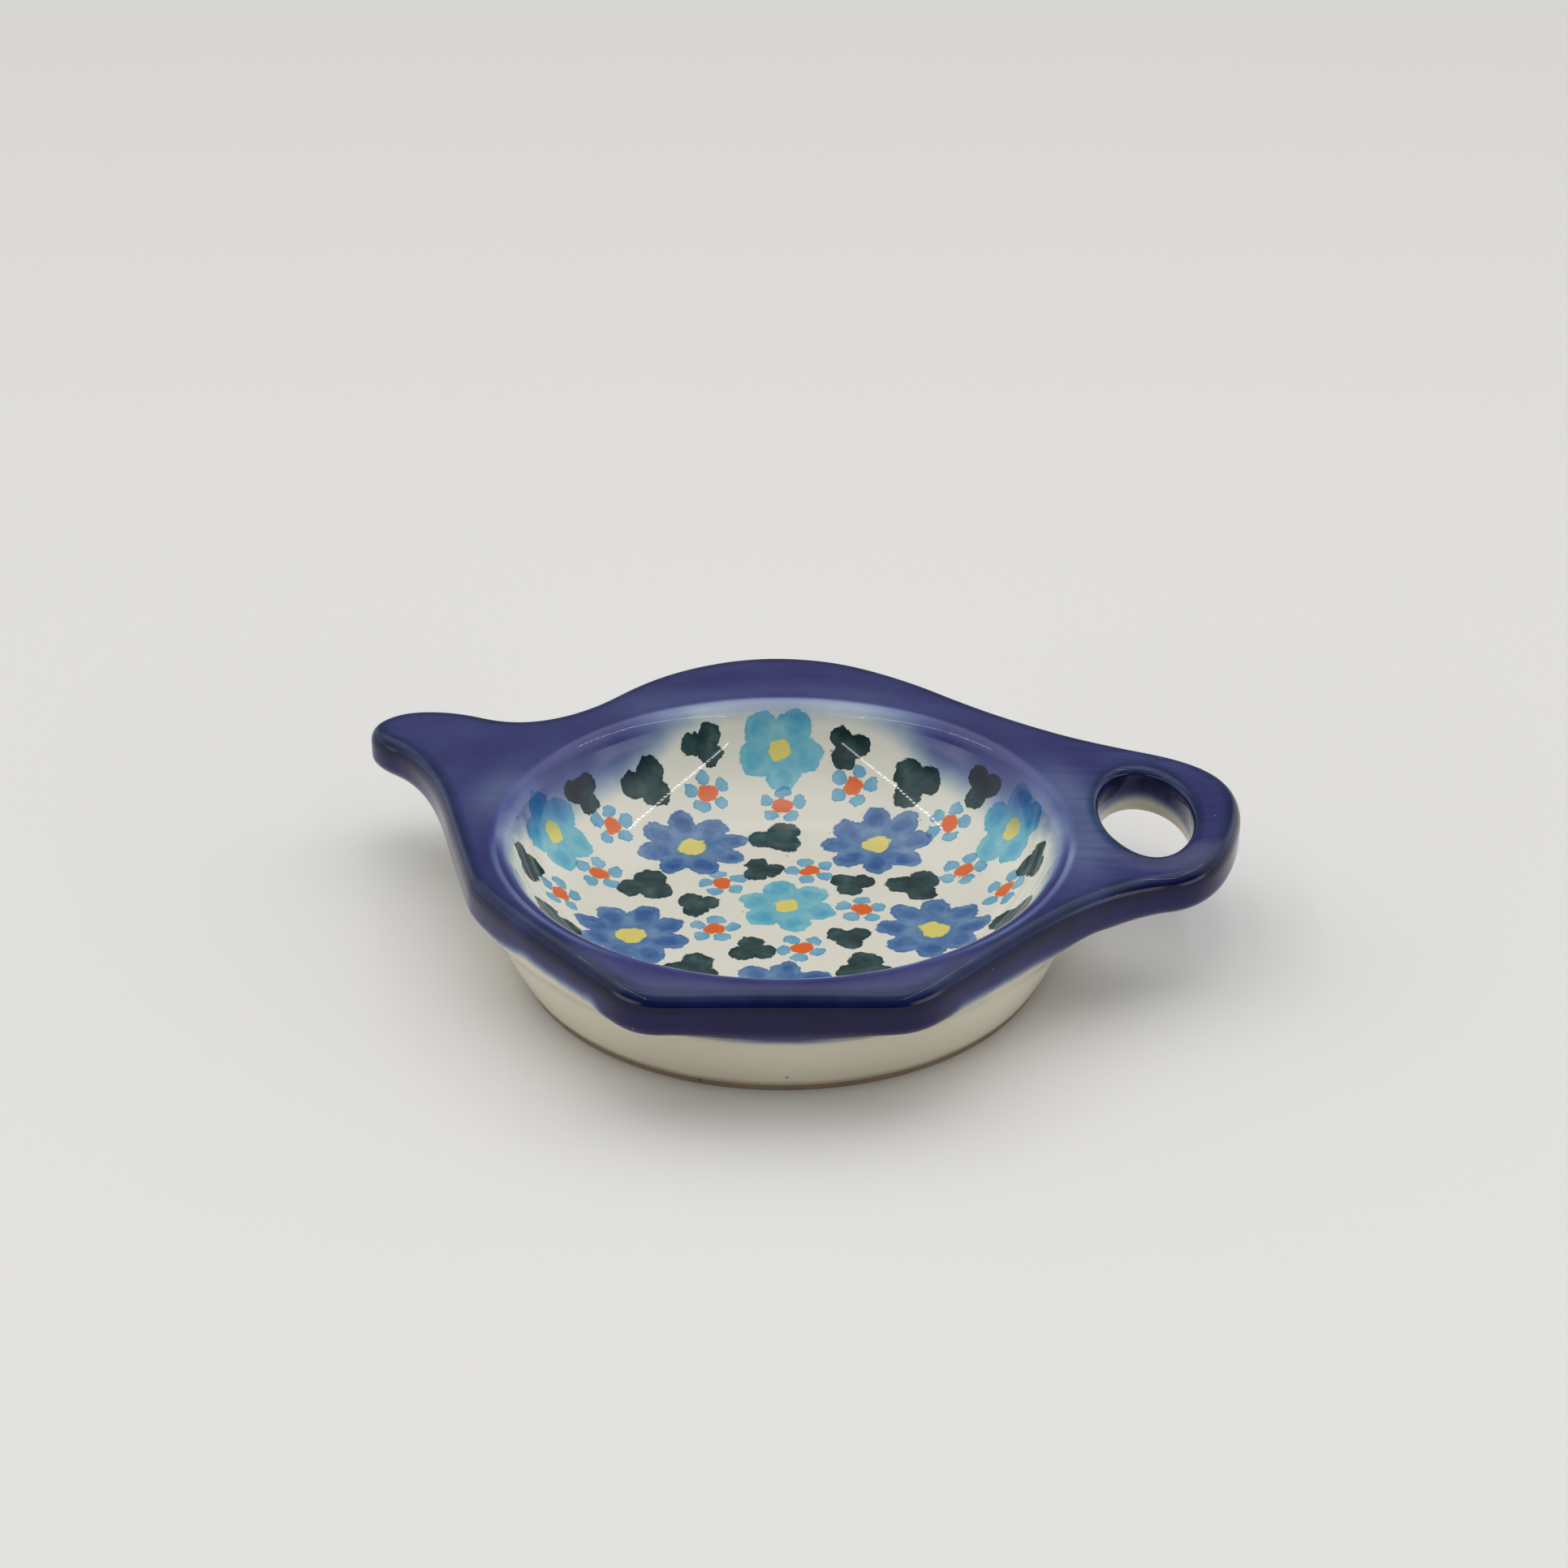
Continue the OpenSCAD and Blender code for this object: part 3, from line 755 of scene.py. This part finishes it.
def motif_ring(recipe, well, ring_r, count, phase, seed, astray=0.8, tilt=0.5):
    """Local places, in millimetres, round the nearest of count motifs that stand on a ring."""
    r, angle, path = well
    pitch = 2 * math.pi / count
    turn = recipe.sum("DIVIDE", recipe.sum("SUBTRACT", angle, phase), pitch)
    number = recipe.sum("ROUND", turn)
    off = recipe.sum("MULTIPLY", recipe.sum("SUBTRACT", turn, number), pitch)
    which = recipe.sum("FLOORED_MODULO", number, count)
    chance = recipe.node("ShaderNodeTexWhiteNoise", {"Vector": recipe.joined(which, seed)},
                         noise_dimensions="2D").outputs["Color"]
    chance = recipe.parted(recipe.vector("SUBTRACT", chance, (0.5, 0.5, 0.5)))
    across = recipe.sum("MULTIPLY", r, recipe.sum("SINE", off))
    across = recipe.sum("MULTIPLY_ADD", chance["X"], 2 * astray, across)
    along = recipe.sum("SUBTRACT", recipe.sum("MULTIPLY", path, recipe.sum("COSINE", off)), ring_r)
    along = recipe.sum("MULTIPLY_ADD", chance["Y"], 2 * astray, along)
    spin = recipe.sum("MULTIPLY", chance["Z"], 2 * tilt)
    return across, along, spin


def petals(recipe, local, count, middle, half_l, half_w, power=2.0, spin=0.0):
    """How near a place is to the nearest of count petals: under 1 inside, from 0 at its middle."""
    across, along, tilt = local
    radius = recipe.vector("LENGTH", recipe.joined(across, along))
    turn = recipe.sum("ADD", recipe.sum("ARCTAN2", across, along), recipe.sum("ADD", tilt, spin))
    share = recipe.sum("MULTIPLY", turn, count / (2 * math.pi))
    off = recipe.sum("SUBTRACT", share, recipe.sum("ROUND", share))
    off = recipe.sum("MULTIPLY", off, 2 * math.pi / count)
    length = recipe.sum("MULTIPLY", radius, recipe.sum("COSINE", off))
    length = recipe.sum("DIVIDE", recipe.sum("SUBTRACT", length, middle), half_l)
    width = recipe.sum("MULTIPLY", radius, recipe.sum("ABSOLUTE", recipe.sum("SINE", off)))
    width = recipe.sum("DIVIDE", width, half_w)
    return recipe.sum("ADD", recipe.sum("POWER", recipe.sum("ABSOLUTE", length), 2),
                      recipe.sum("POWER", width, power)), radius


def stroke(recipe, nearness, pool, soft=0.1):
    """A brush stroke's thickness: even inside, with the colour pooled along its edge."""
    inside = recipe.ramp(nearness, 1 + soft, 1 - soft)
    pooled = recipe.ramp(nearness, 0.55, 1.0, 1 - pool, 1)
    return recipe.sum("MULTIPLY", inside, pooled)


sky_blue = absorbance(ivory, srgb(76, 112, 158))
turquoise = absorbance(ivory, srgb(104, 172, 190))
leaf_green = absorbance(ivory, srgb(32, 54, 55))
orange = absorbance(ivory, srgb(214, 98, 42))
yellow = absorbance(ivory, srgb(214, 200, 108))
dot_blue = absorbance(ivory, srgb(84, 146, 182))

painted_glaze, finish, brush = new_material("painted_glaze")
spot = brush.place()
shaken = spot
for wobble, size in ((1.7, 0.45), (0.7, 1.6)):
    shake = brush.node("ShaderNodeTexNoise", {
        "Vector": spot, "Scale": size, "Detail": 3.0}).outputs["Color"]
    shake = brush.scaled(brush.vector("SUBTRACT", shake, (0.5, 0.5, 0.5)), wobble)
    shaken = brush.vector("ADD", shaken, shake)
well = well_spot(brush, shaken)
watery = brush.sum("MULTIPLY_ADD", brush.noise(spot, 3.2, detail=3), 1.3, 1)


def flowers(ring_r, count, phase, seed, petal_count, size, colour, centre, start=0.0):
    """Coats for round-petalled flowers of a size on a ring, with a second dab on each petal."""
    local = motif_ring(brush, well, ring_r, count, phase, seed)
    half_w = size * (0.95 / petal_count + 0.02)
    near, radius = petals(brush, local, petal_count, size * 0.3, size * 0.21, half_w, 2, start)
    dab, _ = petals(brush, local, petal_count, size * 0.34, size * 0.11, half_w * 0.55, 2, start)
    heart = brush.ramp(brush.sum("DIVIDE", radius, size * 0.13), 1.08, 0.92)
    bare = brush.sum("SUBTRACT", 1, heart)
    thick = brush.sum("MULTIPLY_ADD", brush.ramp(dab, 1.6, 0.3), 0.3, stroke(brush, near, 0.12))
    thick = brush.sum("MULTIPLY", brush.sum("MULTIPLY", thick, bare), watery)
    return [(thick, colour), (heart, centre)]


def leaves(ring_r, count, phase, seed, length, start=0.0, lobes=3):
    """Coats for broad lobed leaves on a ring."""
    local = motif_ring(brush, well, ring_r, count, phase, seed, 0.6, 1.5)
    near, radius = petals(brush, local, lobes, length * 0.24, length * 0.27, length * 0.27, 1.8, start)
    middle = brush.sum("DIVIDE", radius, length * 0.26)
    near = brush.sum("MINIMUM", near, brush.sum("MULTIPLY", middle, middle))
    return [(brush.sum("MULTIPLY", stroke(brush, near, 0.12), watery), leaf_green)]


def dot_groups(ring_r, count, phase, seed, dots=5):
    """Coats for a ring of small groups: an orange dot with blue dots round it."""
    local = motif_ring(brush, well, ring_r, count, phase, seed, 0.5, 1.5)
    near, radius = petals(brush, local, dots, 2.5, 1.05, 1.15)
    heart = brush.ramp(brush.sum("DIVIDE", radius, 1.4), 1.1, 0.9)
    return [(brush.sum("MULTIPLY", stroke(brush, near, 0.3), watery), dot_blue), (heart, orange)]


fifth = math.pi / 5
turn = 0.95
layers = flowers(0.01, 1, 0, 1, 6, 13.4, turquoise, yellow)
layers += dot_groups(10.8, 5, turn + 0.26, 2)
layers += flowers(21.6, 5, turn, 4, 8, 15.8, sky_blue, yellow, 0.4)
layers += leaves(11.4, 5, turn - 0.4, 5, 6.4)
layers += leaves(19.8, 5, turn + fifth, 6, 8.4, 0.4)
layers += dot_groups(27.2, 5, turn + fifth, 7)
layers += leaves(33.9, 5, turn, 8, 8.2)
layers += dot_groups(30.6, 5, turn - 0.28, 9) + dot_groups(31.2, 5, turn + 0.3, 10)
layers += flowers(35.8, 5, turn + fifth, 11, 5, 12.6, turquoise, yellow, 0.3)
layers += leaves(37, 5, turn + 0.33, 12, 6.8) + leaves(37.4, 5, turn - 0.31, 13, 6.8)
layers += washed(brush, cobalt_wash(brush, spot))
cloud = brush.sum("ADD", brush.noise(spot, 9, detail=3), 0.5)
slip_and_wall_light = brush.mix(cloud, ivory, srgb(223, 219, 205))
# Up the well's wall the slip is painted lighter: painted light on the wall.
slip_and_wall_light = brush.mix(brush.ramp(brush.parted(spot)["Z"], floor_z, floor_z + 5), slip_and_wall_light, srgb(233, 230, 216))
clear_glaze(brush, finish, spot, coats(brush, slip_and_wall_light, *layers))

lining = turned("well_lining", well_section(0) + well_section(glaze_t)[::-1] + [(lip_r, rest_h)],
                painted_glaze)
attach(lining, "root")
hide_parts("well_glaze")


# Table, light and camera
# A plain pale table in a light tent: its roof glows, most behind and overhead, and two strips of small
# lamps run along it. Low down only its sides glow, so the glossy blue keeps its depth.

table_mesh = bpy.data.meshes.new("table")
table_half = 2.5
corners = [(x * table_half, y * table_half, 0) for x, y in ((-1, -1), (1, -1), (1, 1), (-1, 1))]
table_mesh.from_pydata(corners, [], [(0, 1, 2, 3)])
table = bpy.data.objects.new("table", table_mesh)
bpy.context.scene.collection.objects.link(table)
pale, finish, cloth = new_material("pale_table")
away = cloth.parted(cloth.place())["Y"]
# The table is painted darker towards the back: a painted falloff of the light.
cloth_tone_and_falloff = cloth.mix(cloth.ramp(away, -300, 900), srgb(231, 230, 228), srgb(221, 219, 217))
cloth.feed(finish["Base Color"], cloth_tone_and_falloff)
finish["Roughness"].default_value = 0.9
finish["Specular IOR Level"].default_value = 0.0
table_mesh.materials.append(pale)


def lamp(name, place, aim, width, length, power):
    """A flat rectangular white lamp at a place that faces a point."""
    data = bpy.data.lights.new(name, "AREA")
    data.shape = "RECTANGLE"
    data.size = width
    data.size_y = length
    data.energy = power
    made = bpy.data.objects.new(name, data)
    made.location = place
    made.rotation_euler = (Vector(aim) - Vector(place)).to_track_quat("-Z", "Y").to_euler()
    bpy.context.scene.collection.objects.link(made)


left_strip_x, right_strip_x = -0.43, 0.385
strip_back_y, strip_z = 0.4, 0.7
lamps_a_strip, lamp_pitch = 36, 0.033
lamp_w, lamp_l, lamp_power = 0.014, 0.012, 0.014
for strip_x in (left_strip_x, right_strip_x):
    for k in range(lamps_a_strip):
        place = (strip_x, strip_back_y - lamp_pitch * k, strip_z)
        lamp("strip_lamp", place, (0, 0, 0), lamp_w, lamp_l, lamp_power)

tent = bpy.data.worlds.new("light_tent")
bpy.context.scene.world = tent
tent.use_nodes = True
sheet = Recipe(tent.node_tree)
aside, behind, up = sheet.parted(sheet.node("ShaderNodeTexCoord").outputs["Generated"])[:3]
beside = sheet.sum("ABSOLUTE", aside)
roof = sheet.sum("MULTIPLY", sheet.ramp(up, 0.5, 0.74, 0, 1.15), sheet.ramp(behind, -0.3, 0.3, 0.3, 1))
roof = sheet.sum("ADD", roof, sheet.ramp(up, 0.9, 0.97, 0, 0.9))
wall = sheet.sum("MULTIPLY", sheet.ramp(beside, 0.3, 0.7, 0, 0.65), sheet.ramp(behind, -0.35, 0.1))
wall_band = sheet.sum("MULTIPLY", sheet.ramp(up, -0.02, 0.08), sheet.ramp(up, 0.75, 0.45))
wall = sheet.sum("MULTIPLY", wall, wall_band)
apron = sheet.sum("MULTIPLY", sheet.ramp(beside, 0.45, 0.8, 0, 2.2), sheet.ramp(behind, 0.05, -0.25))
apron_band = sheet.sum("MULTIPLY", sheet.ramp(up, -0.02, 0.06), sheet.ramp(up, 0.36, 0.22))
apron = sheet.sum("MULTIPLY", apron, apron_band)
dim = sheet.ramp(behind, -0.4, 0.4, 0.08, 0.24)
glow = tent.node_tree.nodes["Background"].inputs
sheet.feed(glow["Strength"], sheet.sum("ADD", sheet.sum("ADD", roof, wall), sheet.sum("ADD", apron, dim)))
glow["Color"].default_value = (1, 1, 0.995, 1)

picture_w = 1932
focal_length = 4000
sensor_w = 36
camera_data = bpy.data.cameras.new("camera")
camera_data.sensor_width = sensor_w
camera_data.lens = sensor_w * focal_length / picture_w
camera_data.clip_start = 0.01
camera = bpy.data.objects.new("camera", camera_data)
camera.location = (0.00017, -0.38465, 0.23355)
camera.rotation_euler = (math.radians(61.58), 0, 0)
bpy.context.scene.collection.objects.link(camera)
bpy.context.scene.camera = camera
bpy.context.scene.view_settings.view_transform = "Standard"
